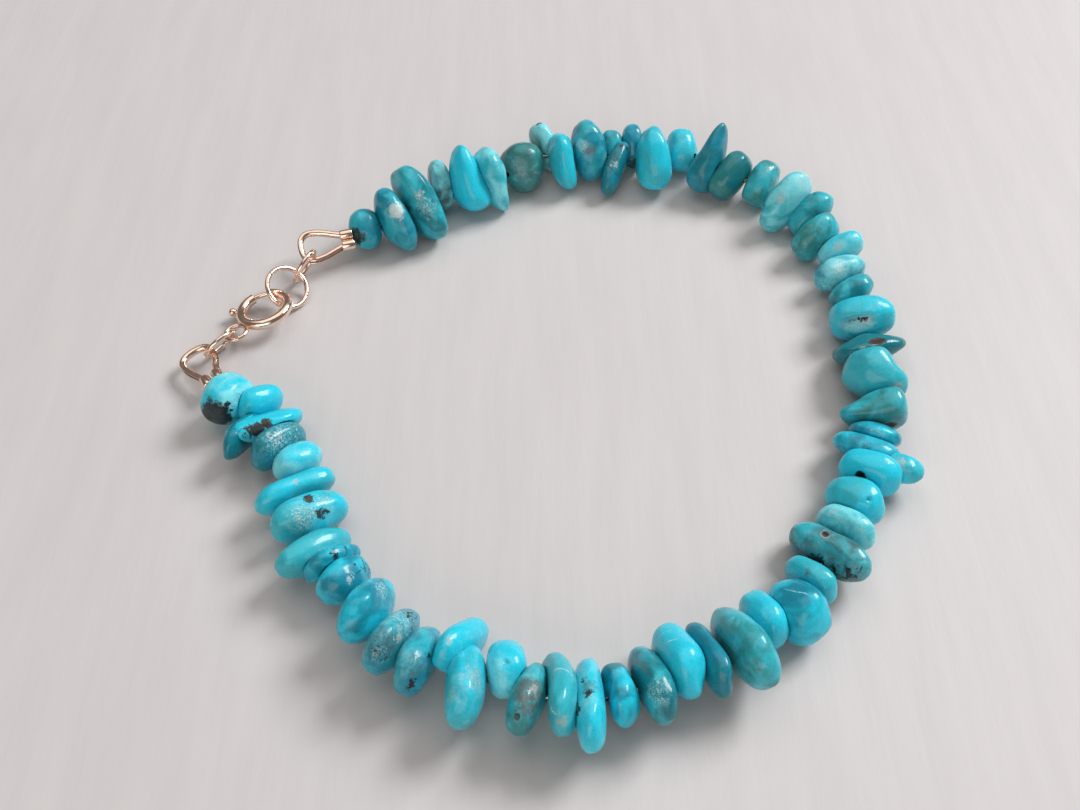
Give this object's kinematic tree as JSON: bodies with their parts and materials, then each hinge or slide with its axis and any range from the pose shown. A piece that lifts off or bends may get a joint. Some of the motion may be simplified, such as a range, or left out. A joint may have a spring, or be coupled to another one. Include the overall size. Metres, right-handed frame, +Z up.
{
  "type": "gemstone bracelet",
  "caption": "Bracelet of polished turquoise chips strung on fine wire, closed by a rose gold spring ring clasp and lying flat on a table.",
  "frame": {"origin": "on the table, under the middle of the outline of the closed bracelet", "axes": "+Z up off the table; -X from the middle towards the clasp; +Y towards the half of the string that the picture shows farther away"},
  "size_m": [0.0614, 0.0652, 0.0065],
  "materials": {
    "turquoise": "polished turquoise, sky blue to green, with pale patches and dark matrix",
    "rose_gold": "polished rose gold plate"
  },
  "bodies": {
    "bracelet": {"stone_string_back": "turquoise", "stone_string_front": "turquoise", "wire_guard_upper": "rose_gold", "wire_guard_lower": "rose_gold", "jump_ring_upper": "rose_gold", "jump_ring_lower": "rose_gold", "catch_ring": "rose_gold", "clasp_body": "rose_gold"},
    "bolt": {"clasp_bolt": "rose_gold"}
  },
  "joints": [
    {"name": "bolt_slide", "type": "hinge", "parent": "bracelet", "child": "bolt", "pos_m": [-0.02438, 0.00901, 0.00143], "axis": [-0.1798, 0.0999, 0.9786], "range_deg": [0, 27], "stiffness_Nm_per_rad": 0.002, "springref_deg": -11.46}
  ]
}
